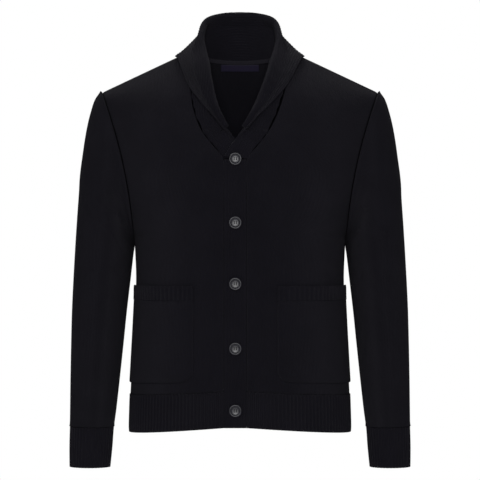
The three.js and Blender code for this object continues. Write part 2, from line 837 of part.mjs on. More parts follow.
export default cardigan;
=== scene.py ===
# %% [markdown]
# A shawl collar cardigan, filled out as if worn, with nobody inside. The frame gives the solids at
# their real size. Each knitted piece is modelled here again as a fine sheet over its solid.

# %% Load the frame
import math

import bmesh
import bpy
import numpy as np
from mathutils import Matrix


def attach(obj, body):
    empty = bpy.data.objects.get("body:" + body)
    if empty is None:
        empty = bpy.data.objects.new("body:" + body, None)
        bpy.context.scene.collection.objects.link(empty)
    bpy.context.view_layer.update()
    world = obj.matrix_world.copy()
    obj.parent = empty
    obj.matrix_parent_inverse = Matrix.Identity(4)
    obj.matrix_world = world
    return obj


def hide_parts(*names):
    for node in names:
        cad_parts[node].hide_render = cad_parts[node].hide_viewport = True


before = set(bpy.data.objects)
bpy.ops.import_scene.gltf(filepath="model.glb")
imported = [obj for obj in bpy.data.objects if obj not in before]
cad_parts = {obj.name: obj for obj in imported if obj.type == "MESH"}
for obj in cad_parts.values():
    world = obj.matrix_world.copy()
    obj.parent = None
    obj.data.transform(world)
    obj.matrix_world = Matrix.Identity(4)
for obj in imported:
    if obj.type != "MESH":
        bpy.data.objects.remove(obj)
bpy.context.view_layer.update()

# %% [markdown]
# Every size is a tailor's measure in millimetres, turned to metres when a mesh is made. The rows
# below are the cardigan's own sections: each has its height, width and depth at the seams.

# %% Sizes of the cloth and trims
MM = 0.001
BODY_WALL = 3.0
BAND_WALL = 4.0
CLOSURE_X = -8.2
BAND_WIDTH = 40.0
BAND_PROUD = 0.8
BAND_TOP_Z = -190.0
HEM_TOP_Z = -604.0
HEM_BOTTOM_Z = -671.0
CUFF_TOP_Z = -661.0
POCKET_MOUTH_Z = -410.0
POCKET_RIB_Z = -436.0
POCKET_FOOT_Z = -583.0
POCKET_INNER_X = 73.0
POCKET_CORNER = 22.0
POCKET_SIDE_S = 0.992
SIDE_S = 0.9993
FRONT_S = 0.0008
BUTTON_HEIGHTS = (-189.3, -300.0, -406.4, -519.3, -627.5)
UNDERARM = np.array((188.3, 2.0, -330.0))
SHOULDER_END = np.array((246.0, 4.0, -66.0))
ARMHOLE_FRONT = 62.0
ARMHOLE_BACK = 68.0
ARMHOLE_BOW = 11.0
NECK_POINT = np.array((84.0, 0.0, 10.0))
BACK_NECK = np.array((0.0, 62.0, -4.0))
NECK_SHARE = 0.36
SLEEVE_CLEAR = 1.6

# %% Sections of the body: z, half width, depth in front, depth behind, rise of the front hem
TORSO = (
    (HEM_BOTTOM_Z, 197.5, 110, 106, 13),
    (HEM_TOP_Z, 195.3, 112, 106, 9),
    (-540, 191.8, 115, 102, 4),
    (-470, 188, 118, 98, 0),
    (-402, 185.2, 121, 98, 0),
    (-355, 186.6, 126, 102, 0),
)
# Front above the underarm: z, neck edge, depth, closure line, armhole angle, roundness
CHEST = (
    (-318, 20, 129, CLOSURE_X, 0, 90),
    (-282, 20, 130, CLOSURE_X, 30, 80),
    (-238, 20, 129, CLOSURE_X, 60, 70),
    (-190, 20.3, 125.5, CLOSURE_X, 82, 62),
    (-165, 39.4, 119, CLOSURE_X, 98, 56),
    (-138.7, 59, 110, CLOSURE_X, 112, 50),
    (-102.8, 74.6, 95, -6.5, 127, 44),
    (-67, 82.7, 76, -4, 142, 36),
    (-30, 87.6, 45, -1, 158, 24),
    (10, 84, 0, 0, 180, 10),
)
# Back above the underarm: z, depth, armhole angle, roundness
BLADES = (
    (-318, 106, 0, 90),
    (-282, 111, 30, 82),
    (-238, 115, 60, 74),
    (-190, 117, 82, 68),
    (-150, 115, 98, 62),
    (-112, 110, 112, 56),
    (-78, 101, 127, 50),
    (-50, 90, 142, 42),
    (-26, 77, 158, 30),
)
# Sleeve rings: inner x and z, outer x and z, middle y, depth in front and behind, bow
SLEEVE = (
    (188.9, -331, 256, -80, 4, 63, 68, 8),
    (189, -332, 263.5, -102, 4, 64, 68, 5),
    (189.1, -333, 270, -128, 5, 65, 68, 2),
    (189.2, -335, 276, -163, 5, 66, 68, 0),
    (189.4, -338, 281.5, -208, 6, 66, 67, 0),
    (189.9, -344, 286, -262, 6, 66, 66, 0),
    (192, -358, 290.5, -328, 6, 64, 64, 0),
    (197, -402, 294.3, -396, 4, 60, 60, 0),
    (203.2, -456, 296.8, -454, 0, 56, 56, 0),
    (208.7, -512, 298, -512, -5, 51, 51, 0),
    (214.8, -572, 298.7, -572, -12, 46, 46, 0),
    (221, -630, 299, -630, -19, 41, 41, 0),
    (225, CUFF_TOP_Z, 299.3, CUFF_TOP_Z, -22, 38, 38, 0),
    (227.5, -696, 300, -696, -24.5, 36.5, 36.5, 0),
    (231, -732, 299.6, -732, -27, 35, 35, 0),
)
# Collar from the button band to the middle back: seam, crest and outer edge, each x, y, z
COLLAR = (
    ((20.3, -124.3, -189.7), (-20, -125.6, -184), (-20, -125.6, -184)),
    ((39.4, -117.5, -165), (-5, -123.5, -160.6), (-4.5, -124, -160.4)),
    ((59, -108.5, -138.7), (13.6, -120, -132), (21.5, -126, -135)),
    ((70.5, -98.5, -112), (27.3, -112, -107.6), (40, -119, -113.5)),
    ((79, -86, -85), (37.7, -97, -81.5), (64.5, -103, -87)),
    ((84.6, -68, -56), (48.2, -75, -46.6), (88.3, -79, -55.6)),
    ((87.6, -45, -30), (56.4, -46, -12), (102.6, -49, -23)),
    ((87, -20, -6), (64.7, -18, 16), (112, -17, -1)),
    ((84, 0, 10), (69.5, 8, 43), (114.5, 12, -0.5)),
    ((72.7, 31, 5), (66, 37, 66), (100, 52, 2)),
    ((42, 53.7, -1), (40, 58, 77), (58, 82, 3)),
    ((0, 62, -4), (0, 65, 80), (0, 93, 1)),
)
ROLL_RADIUS = 5.0
COLLAR_START = 0.03
SEAM_LAP = 3.5
NAPE_FROM = 0.30
NAPE_FULL = 0.36
UNDER_DROP = 5.0
print("body rows", len(TORSO) + len(CHEST), "sleeve rings", len(SLEEVE), "collar stations", len(COLLAR))

# %% [markdown]
# A panel is a smooth sheet through its rows. One curve function runs through uneven rows, and a
# squarish quarter round carries each row from the button band to the side seam.


# %% Curves through the rows
def ease(low, high, value):
    f = np.clip((value - low) / (high - low), 0.0, 1.0)
    return f * f * (3 - 2 * f)


def curve_at(points, places, t):
    last = len(points) - 1
    i = 0
    while i < last - 1 and t > places[i + 1]:
        i += 1

    def slope(k):
        before, after = max(k - 1, 0), min(k + 1, last)
        return (points[after] - points[before]) / (places[after] - places[before])

    span = places[i + 1] - places[i]
    f = (t - places[i]) / span
    g = 1 - f
    ends = points[i] * g * g * (1 + 2 * f) + points[i + 1] * f * f * (3 - 2 * f)
    return ends + slope(i) * f * g * g * span - slope(i + 1) * f * f * g * span


def places_of(values):
    values = np.array(values, float)
    return (values - values[0]) / (values[-1] - values[0])


def place_of(values, value):
    return (value - values[0]) / (values[-1] - values[0])


def quarter(angle, fullness=2.4):
    reach = (np.abs(np.sin(angle)) ** fullness + np.abs(np.cos(angle)) ** fullness) ** (1 / fullness)
    return np.sin(angle) / reach, np.cos(angle) / reach


def round_row(inner, outer, turn, s):
    angle = math.radians(turn)
    end_across, end_deep = quarter(angle)
    across, deep = quarter(angle * s)
    f = across / end_across
    d = (1 - deep) / (1 - end_deep)
    x = inner[0] + (outer[0] - inner[0]) * f
    y = inner[1] + (outer[1] - inner[1]) * d
    z = inner[2] + (outer[2] - inner[2]) * f
    return np.stack((x, y, z), axis=-1)


def armhole(angle, facing):
    angle = np.radians(angle)
    up = (1 - np.cos(angle)) / 2
    sine = np.sin(angle)
    point = UNDERARM + (SHOULDER_END - UNDERARM) * np.expand_dims(up, -1)
    depth = np.where(facing < 0, -ARMHOLE_FRONT, ARMHOLE_BACK)
    shift = np.stack((-ARMHOLE_BOW * sine * sine, depth * sine, 0 * sine), axis=-1)
    return point + shift


# %% Surfaces of the front, back and sleeve
FRONT_Z = [row[0] for row in TORSO] + [row[0] for row in CHEST]
BACK_Z = [row[0] for row in TORSO] + [row[0] for row in BLADES] + [BACK_NECK[2]]
SLEEVE_Z = [-SHOULDER_END[2]] + [-row[3] for row in SLEEVE]


def front_rows(side, s):
    rows = []
    for z, half, depth, _, lift in TORSO:
        inner = (CLOSURE_X + side * BAND_WIDTH / 2, -depth, z + lift)
        rows.append(round_row(inner, (side * half, 0, z), 90, s))
    for z, edge, depth, shift, arm, turn in CHEST:
        outer = armhole(arm, -1) * (side, 1, 1)
        rows.append(round_row((shift + side * edge, -depth, z), outer, turn, s))
    return np.array(rows)


def back_rows(signed):
    s = np.abs(signed)
    rows = [round_row((0, depth, z), (half, 0, z), 90, s) for z, half, _, depth, _ in TORSO]
    rows += [round_row((0, depth, z), armhole(arm, 1), turn, s) for z, depth, arm, turn in BLADES]
    angle = np.minimum(s / NECK_SHARE, 1) * math.pi / 2
    rise = np.minimum(s / NECK_SHARE, 1) ** 2
    neck = np.stack((
        NECK_POINT[0] * np.sin(angle),
        BACK_NECK[1] * np.cos(angle),
        BACK_NECK[2] + (NECK_POINT[2] - BACK_NECK[2]) * rise,
    ), axis=-1)
    along = np.maximum((s - NECK_SHARE) / (1 - NECK_SHARE), 0)[:, None]
    rows.append(np.where(s[:, None] < NECK_SHARE, neck, NECK_POINT + (SHOULDER_END - NECK_POINT) * along))
    mirror = np.stack((np.where(signed < 0, -1, 1), np.ones_like(s), np.ones_like(s)), axis=-1)
    return np.array(rows) * mirror


def sleeve_rows(side, s):
    angle = s * 360
    front = angle <= 180
    rows = [armhole(np.where(front, angle, 360 - angle), np.where(front, -1, 1))]
    sine = np.sin(np.radians(angle))
    out = (1 - np.cos(np.radians(angle))) / 2
    for x_in, z_in, x_out, z_out, mid, ahead, behind, bow in SLEEVE:
        x = x_in + SLEEVE_CLEAR + (x_out - x_in - SLEEVE_CLEAR) * out - bow * sine * sine
        y = mid - sine * np.where(sine > 0, ahead, behind)
        rows.append(np.stack((x, y, z_in + (z_out - z_in) * out), axis=-1))
    return np.array(rows) * (side, 1, 1)


def grid_through(rows, heights, t_values):
    places = places_of(heights)
    return np.array([curve_at(rows, places, t) for t in t_values])


def even_steps(rows, heights, s_values, t, count):
    line = curve_at(rows, places_of(heights), t)
    lengths = np.concatenate(([0], np.cumsum(np.linalg.norm(np.diff(line, axis=0), axis=1))))
    return np.interp(np.linspace(0, lengths[-1], count + 1), lengths, s_values)


print("front rows run from", FRONT_Z[0], "to", FRONT_Z[-1])

# %% [markdown]
# The collar is one strip of rib. Across its width it goes up the stand, round a soft roll and down
# the fall, so each station is a straight, an arc and a straight, and the stations follow the neck.


# %% Surface of the shawl collar
# Up the stand, round the roll and down the fall. It laps below the neck seam behind the neck.
def collar_path(seam, crest, edge, up, out, v, nape):
    size = ROLL_RADIUS * (0.5 + 0.5 * float(ease(0, 25, np.linalg.norm(edge - crest))))
    start = crest - up * size
    centre = start + out * size
    reach = edge - centre
    high, wide = reach @ up, reach @ out
    distance = max(math.hypot(high, wide), size + 0.1)
    turn = math.atan2(high, -wide) + 2 * math.pi - math.acos(size / distance)
    while turn > math.pi * 1.5:
        turn -= 2 * math.pi
    turn = max(turn, 0)
    end = centre - out * size * math.cos(turn) + up * size * math.sin(turn)
    stand, roll, fall = np.linalg.norm(start - seam), size * turn, np.linalg.norm(edge - end)
    total = stand + roll + fall
    start_at = COLLAR_START * total * (1 - nape) - SEAM_LAP * nape
    walked = start_at + v * (total - start_at)
    angle = np.clip((walked - stand) / size, 0, turn)[:, None]
    on_roll = centre - out * size * np.cos(angle) + up * size * np.sin(angle)
    on_stand = seam + (start - seam) * (walked / stand)[:, None]
    on_fall = end + (edge - end) * ((walked - stand - roll) / max(fall, 1e-6))[:, None]
    path = np.where((walked < stand)[:, None], on_stand, on_roll)
    return np.where((walked > stand + roll)[:, None], on_fall, path), total


def collar_stations():
    def placed(row, side):
        spots = []
        for x, y, z in row:
            spots.append((CLOSURE_X * float(ease(20, -134, z)) + side * x, y, z))
        return spots

    under = [placed(row, -1) for row in COLLAR]
    over = [placed(row, 1) for row in reversed(COLLAR[:-1])]
    return np.array(under + over, float)


def collar_grid(u_values, v_values):
    stations = collar_stations()
    steps = np.linalg.norm(np.diff(stations[:, 1], axis=0), axis=1)
    places = places_of(np.concatenate(([0], np.cumsum(steps))))
    grid, widths = [], []
    for u in u_values:
        seam, crest, edge = curve_at(stations, places, u)
        ahead = curve_at(stations, places, u + 1e-3)[1] - curve_at(stations, places, u - 1e-3)[1]
        along = ahead / np.linalg.norm(ahead)
        rise = crest - seam
        up = rise - along * (rise @ along)
        up /= np.linalg.norm(up)
        out = np.cross(along, up)
        nape = float(ease(NAPE_FROM, NAPE_FULL, min(u, 1 - u)))
        line, total = collar_path(seam, crest, edge, up, out / np.linalg.norm(out), v_values, nape)
        if u < 0.5:
            line[:, 1] += UNDER_DROP * float(ease(0.86, 0.97, 1 - u))
        grid.append(line)
        widths.append(total)
    return np.array(grid), np.array(widths)


print("collar is", round(float(collar_grid([0.5], np.array([0.0, 1.0]))[1][0])), "mm wide at the back")

# %% [markdown]
# Each sheet starts as Blender's own flat grid, and every point of it is then set on the surface. Its
# UV map is the cloth's own length and width in metres, so stitches keep their size on every piece.


# %% From a grid of points to a cloth sheet
def normals_of(grid, wrap):
    if wrap:
        padded = np.concatenate((grid[:, -2:-1], grid, grid[:, 1:2]), axis=1)
        along = (padded[:, 2:] - padded[:, :-2]) / 2
    else:
        along = np.gradient(grid, axis=1)
    normal = np.cross(along, np.gradient(grid, axis=0))
    return normal / np.maximum(np.linalg.norm(normal, axis=2, keepdims=True), 1e-9)


def cloth_sheet(name, grid, wall, wrap=False):
    rows, columns = grid.shape[:2]
    across = np.zeros((rows, columns))
    across[:, 1:] = np.cumsum(np.linalg.norm(np.diff(grid, axis=1), axis=2), axis=1)
    across -= across[:, columns // 2][:, None]
    along = np.zeros((rows, columns))
    along[1:] = np.cumsum(np.linalg.norm(np.diff(grid, axis=0), axis=2), axis=0)
    bm = bmesh.new()
    bmesh.ops.create_grid(bm, x_segments=columns - 1, y_segments=rows - 1, size=1.0)
    spots = {}
    for vert in bm.verts:
        column = round((vert.co.x + 1) / 2 * (columns - 1))
        row = round((vert.co.y + 1) / 2 * (rows - 1))
        spots[vert] = (row, column)
    uv = bm.loops.layers.uv.new("Cloth")
    for face in bm.faces:
        for loop in face.loops:
            row, column = spots[loop.vert]
            loop[uv].uv = (across[row, column] * MM, along[row, column] * MM)
    for vert, (row, column) in spots.items():
        vert.co = grid[row, column] * MM
    if wrap:
        bmesh.ops.remove_doubles(bm, verts=bm.verts, dist=1e-6)
    mesh = bpy.data.meshes.new(name)
    bm.to_mesh(mesh)
    bm.free()
    mesh.shade_smooth()
    piece = bpy.data.objects.new(name, mesh)
    bpy.context.scene.collection.objects.link(piece)
    thick = piece.modifiers.new("wall", "SOLIDIFY")
    thick.thickness = wall * MM
    thick.offset = -1
    thick.use_even_offset = False
    print(name, rows, "by", columns, "points")
    return piece


def outward(grid, turned, wrap=False):
    return normals_of(grid, wrap) * turned


def sheet_facing(name, grid, wall, turned, wrap=False):
    if turned < 0:
        grid = grid[:, ::-1]
    return cloth_sheet(name, grid, wall, wrap)


# %% [markdown]
# Heavy knit hardly creases. The photo shows a few soft drag lines at the underarms, elbows and
# pockets. Each fold is a shallow trough or ridge on a line, with its own length, width and depth.

# %% Soft folds
# x, y, z of the middle, direction x, y, z, half length, half width, depth outward
FOLDS = (
    (150, -85, -300, 0.8, 0, 0.55, 55, 9, -1.8),
    (160, -80, -330, 0.9, 0, 0.25, 45, 8, 1.4),
    (158, -72, -392, 0.75, 0, -0.6, 42, 8, -1.6),
    (140, -86, -366, 0.8, 0, -0.4, 48, 10, 1.3),
    (96, -105, -470, 0.25, 0, -0.95, 80, 16, -1.2),
    (284, -20, -250, 0.1, -0.5, -0.85, 60, 10, -1.6),
    (262, -55, -300, -0.7, 0, -0.6, 45, 9, 1.7),
    (250, -56, -395, -0.85, 0, 0.4, 36, 8, -2.0),
    (262, -52, -424, -0.9, 0, 0.25, 38, 8, 1.8),
    (250, -52, -452, -0.85, 0, 0.5, 34, 8, -1.8),
    (275, -50, -520, -0.8, 0, 0.6, 34, 9, -1.2),
    (262, -55, -600, -0.9, 0, 0.35, 30, 7, -1.5),
    (264, -52, -640, -0.95, 0, 0.2, 30, 7, 1.4),
    (120, 100, -250, 0.6, 0, 0.75, 70, 14, -2.0),
    (80, 100, -430, 0.9, 0, 0.3, 70, 16, -1.6),
    (60, 100, -480, 0.95, 0, -0.2, 70, 14, 1.4),
    (262, 60, -420, -0.9, 0, 0.4, 40, 9, -2.0),
)


RIGHT_SHARE = 0.75
RIGHT_RISE = 9
FOLD_LIMIT = 70
print("folds", 2 * len(FOLDS))


def folded(grid, normals):
    moved = grid.copy()
    for side in (-1, 1):
        for x, y, z, dx, dy, dz, half, width, depth in FOLDS:
            strength = 1.0 if side > 0 else RIGHT_SHARE
            centre = np.array((side * x, y, z + (0 if side > 0 else RIGHT_RISE)), float)
            way = np.array((side * dx, dy, dz), float)
            way /= np.linalg.norm(way)
            gap = grid - centre
            along = gap @ way
            off = np.linalg.norm(gap - along[..., None] * way, axis=2)
            flat = np.abs(gap[..., 2] - along * way[2]) + 0.35 * off
            shape = np.exp(-(flat / width) ** 2) * np.exp(-(along / half) ** 2)
            shape = shape * (np.abs(gap[..., 1]) < FOLD_LIMIT)
            moved += normals * (depth * strength * shape)[..., None]
    return moved


def seam_groove(grid, normals, depth, reach, columns=(), rows=()):
    moved = grid.copy()
    for k in range(reach):
        dip = depth * (1 - k / reach) ** 2
        for edge in columns:
            column = k if edge == 0 else -1 - k
            moved[:, column] -= normals[:, column] * dip
        for edge in rows:
            row = k if edge == 0 else -1 - k
            moved[row] -= normals[row] * dip
    return moved


def ribbed(distance, pitch, height):
    wave = np.cos(2 * math.pi * distance / pitch)
    return height * (0.5 + 0.5 * wave) ** 0.7


# %% [markdown]
# The body is stocking stitch: the back is one sheet, and each front stops at the button band. The
# linked seams sink a little, so each edge dips into a soft groove.

# %% Back and fronts
SEAM_DIP = 0.9
SEAM_REACH = 2
pieces = {}


def body_panel(name, rows_of, heights, turned, s_from, s_to, columns, rows_count):
    fine = np.linspace(s_from, s_to, 400)
    hem = place_of(heights, HEM_TOP_Z) + 0.0003
    s_even = even_steps(rows_of(fine), heights, fine, 0.45, columns)
    grid = grid_through(rows_of(s_even), heights, np.linspace(hem, 0.9997, rows_count))
    normal = outward(grid, turned)
    grid = folded(grid, normal)
    seams = (0, 1) if name == "back_sheet" else (1,)
    grid = seam_groove(grid, normal, columns=seams, rows=(1,), depth=SEAM_DIP, reach=SEAM_REACH)
    return sheet_facing(name, grid, BODY_WALL, turned)


pieces["back"] = body_panel("back_sheet", back_rows, BACK_Z, -1, -SIDE_S, SIDE_S, 150, 150)
for side, hand in ((1, "left"), (-1, "right")):
    pieces[f"front_{hand}"] = body_panel(
        f"front_{hand}_sheet", lambda s, side=side: front_rows(side, s), FRONT_Z, side,
        FRONT_S, SIDE_S, 80, 150,
    )

# %% [markdown]
# A sleeve is a tube that starts at the armhole seam, fans round the shoulder and hangs nearly
# straight. Its grid goes once round, and the two edges are merged into the underarm seam.


# %% Sleeves
def sleeve_tube(side, hand):
    s = np.linspace(0, 1, 105)
    end = place_of(SLEEVE_Z, -CUFF_TOP_Z) - 0.0004
    t = np.concatenate((np.linspace(0, 0.35, 70), np.linspace(0.355, end, 90)))
    grid = grid_through(sleeve_rows(side, s), SLEEVE_Z, t)
    normal = outward(grid, side, True)
    grid = folded(grid, normal)
    grid = seam_groove(grid, normal, rows=(0, 1), depth=SEAM_DIP, reach=SEAM_REACH)
    grid[:, -1] = grid[:, 0]
    return sheet_facing(f"sleeve_{hand}_sheet", grid, BODY_WALL, side, True)


for side, hand in ((1, "left"), (-1, "right")):
    pieces[f"sleeve_{hand}"] = sleeve_tube(side, hand)

# %% [markdown]
# The hem, cuffs and pocket tops are ribbed. A wave in each sheet's own points makes real ribs, eight
# points to a rib, so they catch the light and crowd together where the body turns away.


# %% Hem, cuffs and their ribs
RIB_HEIGHT = 2.0
CUFF_RIB_SHARE = 0.85
RIB_WALL = BODY_WALL - 0.6
RIB_EDGE = 0.6
RIB_EDGE_FADE = 1.2
POINTS_PER_RIB = 8


def hem_piece(name, rows_of, heights, turned, s_from, s_to, ribs):
    fine = np.linspace(s_from, s_to, 400)
    top = place_of(heights, HEM_TOP_Z) - 0.0003
    s_even = even_steps(rows_of(fine), heights, fine, top / 2, ribs * POINTS_PER_RIB)
    t = np.linspace(0, top, 18)
    grid = grid_through(rows_of(s_even), heights, t)
    normal = outward(grid, turned)
    wave = ribbed(np.arange(len(s_even)) / POINTS_PER_RIB, 1.0, RIB_HEIGHT)
    edge = 1 - RIB_EDGE * np.exp(-np.arange(len(t)) / RIB_EDGE_FADE)
    grid = grid + normal * (wave[None, :] * edge[:, None] - 0.5)[..., None]
    return sheet_facing(name, grid, RIB_WALL, turned)


pieces["hem_back"] = hem_piece("hem_back_rib", back_rows, BACK_Z, -1, -SIDE_S, SIDE_S, 76)
for side, hand in ((1, "left"), (-1, "right")):
    pieces[f"hem_{hand}"] = hem_piece(
        f"hem_{hand}_rib", lambda s, side=side: front_rows(side, s), FRONT_Z, side,
        FRONT_S, SIDE_S, 36,
    )


def cuff_piece(side, hand):
    ribs = 38
    s = np.linspace(0, 1, ribs * POINTS_PER_RIB + 1)
    start = place_of(SLEEVE_Z, -CUFF_TOP_Z) + 0.0004
    t = np.linspace(start, 1, 18)
    grid = grid_through(sleeve_rows(side, s), SLEEVE_Z, t)
    normal = outward(grid, side, True)
    wave = ribbed(np.arange(len(s)) / POINTS_PER_RIB, 1.0, RIB_HEIGHT * CUFF_RIB_SHARE)
    edge = 1 - RIB_EDGE * np.exp(-np.arange(len(t))[::-1] / RIB_EDGE_FADE)
    grid = grid + normal * (wave[None, :] * edge[:, None] - 0.4)[..., None]
    grid[:, -1] = grid[:, 0]
    return sheet_facing(f"cuff_{hand}_rib", grid, RIB_WALL, side, True)


for side, hand in ((1, "left"), (-1, "right")):
    pieces[f"cuff_{hand}"] = cuff_piece(side, hand)

# %% [markdown]
# The button bands are strips of rib that run lengthwise. The over band lies in front, flush with the
# fronts, and the under band lies behind it.


# %% Button bands
BAND_RIB = 0.9


def band_piece(name, face_out):
    ribs, points = 8, 8
    top = place_of(FRONT_Z, BAND_TOP_Z) - 0.0003
    t = np.linspace(0, top, 130)
    middle = grid_through(front_rows(1, np.array([0.0])), FRONT_Z, t)[:, 0]
    x = CLOSURE_X + BAND_WIDTH * (np.linspace(0.004, 0.996, ribs * points + 1) - 0.5)
    grid = np.zeros((len(t), len(x), 3))
    grid[..., 0] = x
    grid[..., 1] = middle[:, None, 1]
    grid[..., 2] = middle[:, None, 2]
    wave = ribbed(np.arange(len(x)) / points, 1.0, BAND_RIB)
    edge = 1 - np.exp(-np.minimum(np.arange(len(x)), np.arange(len(x))[::-1]) / 1.6)
    lie = face_out - BAND_RIB + wave * edge + 0.5 * (edge - 1)
    grid = grid + outward(grid, 1) * lie[None, :, None]
    return cloth_sheet(name, grid, BAND_WALL - 1, False)


pieces["button_band_over"] = band_piece("over_band_rib", BAND_PROUD)
pieces["button_band_under"] = band_piece("under_band_rib", BAND_PROUD - BAND_WALL - BAND_RIB)

# %% [markdown]
# The shawl collar's ribs run along it, from one band round the neck to the other. They are counted
# from the outer edge inwards, and end one after another at the neck seam, as on a shaped collar.

# %% Shawl collar
COLLAR_PITCH = 4.8
COLLAR_RIB = 0.8
SETTLE_DEPTH = 3.0
SETTLE_REACH = 15
SHOULDER_X = 108
SHOULDER_SPREAD = 22
collar_u = np.linspace(0.0005, 0.9995, 181)
collar_v = np.linspace(0.0, 1.0, 200)
collar, collar_widths = collar_grid(collar_u, collar_v)
collar_normal = outward(collar, -1)
if collar_normal[90, 40, 1] > 0:
    collar_normal = -collar_normal
from_edge = (1 - collar_v)[None, :] * collar_widths[:, None]
collar_wave = ribbed(from_edge, COLLAR_PITCH, COLLAR_RIB)
rounding = -1.0 * np.exp(-from_edge / 1.5)
near_shoulder = np.exp(-(((np.abs(collar[..., 0]) - SHOULDER_X) / SHOULDER_SPREAD) ** 2))
settle = SETTLE_DEPTH * np.exp(-from_edge / SETTLE_REACH) * near_shoulder
collar = collar + collar_normal * (BAND_WALL / 2 - COLLAR_RIB + collar_wave + rounding)[..., None]
collar[..., 2] -= settle
facing = normals_of(collar, False)[90, 40] @ collar_normal[90, 40]
pieces["shawl_collar"] = cloth_sheet(
    "shawl_collar_rib", collar if facing > 0 else collar[::-1], BAND_WALL - 1
)

# %% [markdown]
# The pockets are patches that follow the front's own surface, moved out by a layer. The inner lower
# corner is round, and the outer edge goes into the side seam.


# %% Patch pockets and their ribbed tops
POCKET_LIE = 3.2
POCKET_EDGE = 1.7
POCKET_WALL = 2.2
MOUTH_GAPE = 2.0
POCKET_COLUMNS = 70


def pocket_grid(side, z_values, columns):
    fine = np.linspace(0, 1, 500)
    places = places_of(FRONT_Z)
    rows = front_rows(side, fine)
    grid = []
    for z in z_values:
        t = place_of(FRONT_Z, z)
        line = curve_at(rows, places, t)
        deep = min(max(POCKET_FOOT_Z + POCKET_CORNER - z, 0), POCKET_CORNER)
        cut = POCKET_CORNER - math.sqrt(POCKET_CORNER ** 2 - deep ** 2)
        start = np.interp(POCKET_INNER_X + cut, np.abs(line[:, 0] - CLOSURE_X), fine)
        s = np.linspace(start, POCKET_SIDE_S, columns)
        grid.append(np.stack([np.interp(s, fine, line[:, k]) for k in range(3)], axis=-1))
    return np.array(grid)


def pocket_piece(side, hand):
    depth = 1 - np.cos(np.linspace(0, math.pi / 2, 16))
    corner = POCKET_FOOT_Z + POCKET_CORNER * depth
    rest = np.linspace(POCKET_FOOT_Z + POCKET_CORNER + 2, POCKET_RIB_Z - 0.2, 50)
    z = np.concatenate((corner, rest))
    grid = pocket_grid(side, z, POCKET_COLUMNS)
    normal = outward(grid, side)
    grid = folded(grid, normal)
    rows = np.arange(len(z))
    columns = np.arange(POCKET_COLUMNS)
    near_side = np.minimum(columns, columns[::-1])
    edge = np.minimum(rows[:, None] * 0.8, near_side[None, :])
    lie = POCKET_LIE - POCKET_EDGE * np.exp(-edge / 1.6)
    return sheet_facing(f"pocket_{hand}_sheet", grid + normal * lie[..., None], POCKET_WALL, side)


def pocket_top(side, hand):
    ribs = 24
    z = np.linspace(POCKET_RIB_Z + 0.1, POCKET_MOUTH_Z, 14)
    grid = pocket_grid(side, z, ribs * POINTS_PER_RIB + 1)
    normal = outward(grid, side)
    gape = MOUTH_GAPE * ease(POCKET_RIB_Z, POCKET_MOUTH_Z, z)[:, None] * np.sin(
        np.linspace(0.1, math.pi, grid.shape[1])
    )[None, :]
    wave = ribbed(np.arange(grid.shape[1]) / POINTS_PER_RIB, 1.0, 1.1)[None, :]
    edge = 1 - RIB_EDGE * np.exp(-np.arange(len(z))[::-1] / RIB_EDGE_FADE)[:, None]
    lie = POCKET_LIE - 0.5 + gape + wave * edge
    return sheet_facing(f"pocket_{hand}_rib", grid + normal * lie[..., None], POCKET_WALL, side)


for side, hand in ((1, "left"), (-1, "right")):
    pieces[f"pocket_{hand}"] = pocket_piece(side, hand)
    pieces[f"pocket_rib_{hand}"] = pocket_top(side, hand)

# %% [markdown]
# The neck tape covers the seam inside the back, and a bare woven label hangs below it. Both follow
# the inside of the back, moved in from its surface.


# %% Neck tape and bare label
def inside_strip(name, half_width, top, bottom, inward, wall, columns, rows_count, level):
    fine_s = np.linspace(-0.5, 0.5, 300)
    height = NECK_POINT[2] - HEM_BOTTOM_Z
    fine_t = 1 - np.linspace(60, 0, 121) / height
    surface = grid_through(back_rows(fine_s), BACK_Z, fine_t)
    x = np.linspace(-half_width, half_width, columns)
    lines = np.array([
        np.stack([np.interp(x, line[:, 0], line[:, k]) for k in range(3)], axis=-1) for line in surface
    ])
    grid = np.empty((rows_count, columns, 3))
    seam_z = lines[-1, :, 2] if not level else np.full(columns, lines[-1, :, 2].min())
    for column in range(columns):
        heights = seam_z[column] - np.linspace(bottom, top, rows_count)
        for k in range(3):
            grid[:, column, k] = np.interp(heights, lines[:, column, 2], lines[:, column, k])
    normal = outward(grid, -1)
    if normal[0, columns // 2, 1] < 0:
        normal = -normal
    return cloth_sheet(name, grid - normal * inward, wall)


pieces["neck_tape"] = inside_strip("neck_tape_strip", 57.0, 0.2, 6.8, 5.4, 1.0, 90, 8, False)
pieces["neck_label"] = inside_strip("neck_label_patch", 35.0, 7.5, 19.0, 4.0, 0.6, 60, 16, True)

# %% [markdown]
# A button is a turned disc with a raised rim and a dished middle. Its profile is spun once round,
# four holes are cut through it, and two pairs of threads run between the holes.

# %% Buttons
HOLE_SPREAD = 1.9
HOLE_RADIUS = 0.95
BUTTON_GAP = 0.8
TOP_BUTTON_GAP = 1.4
THREAD_SIZE = (0.36, 2.5, 0.62)
THREAD_SPREAD = 0.28
THREAD_RISE = 2.35
PROFILE = (
    (0.0, 0.0), (9.0, 0.0), (10.6, 0.7), (11.0, 1.7), (11.0, 3.1), (10.5, 3.9), (9.7, 4.2),
    (8.8, 4.1), (8.1, 3.6), (7.4, 2.9), (6.2, 2.5), (4.0, 2.3), (0.0, 2.25),
)
button_face = grid_through(front_rows(1, np.array([0.0])), FRONT_Z, np.linspace(0, 1, 400))[:, 0]


def face_y(z):
    return float(np.interp(z, button_face[:, 2], button_face[:, 1]))


def mesh_object(name, bm):
    mesh = bpy.data.meshes.new(name)
    bm.to_mesh(mesh)
    bm.free()
    made = bpy.data.objects.new(name, mesh)
    bpy.context.scene.collection.objects.link(made)
    return made


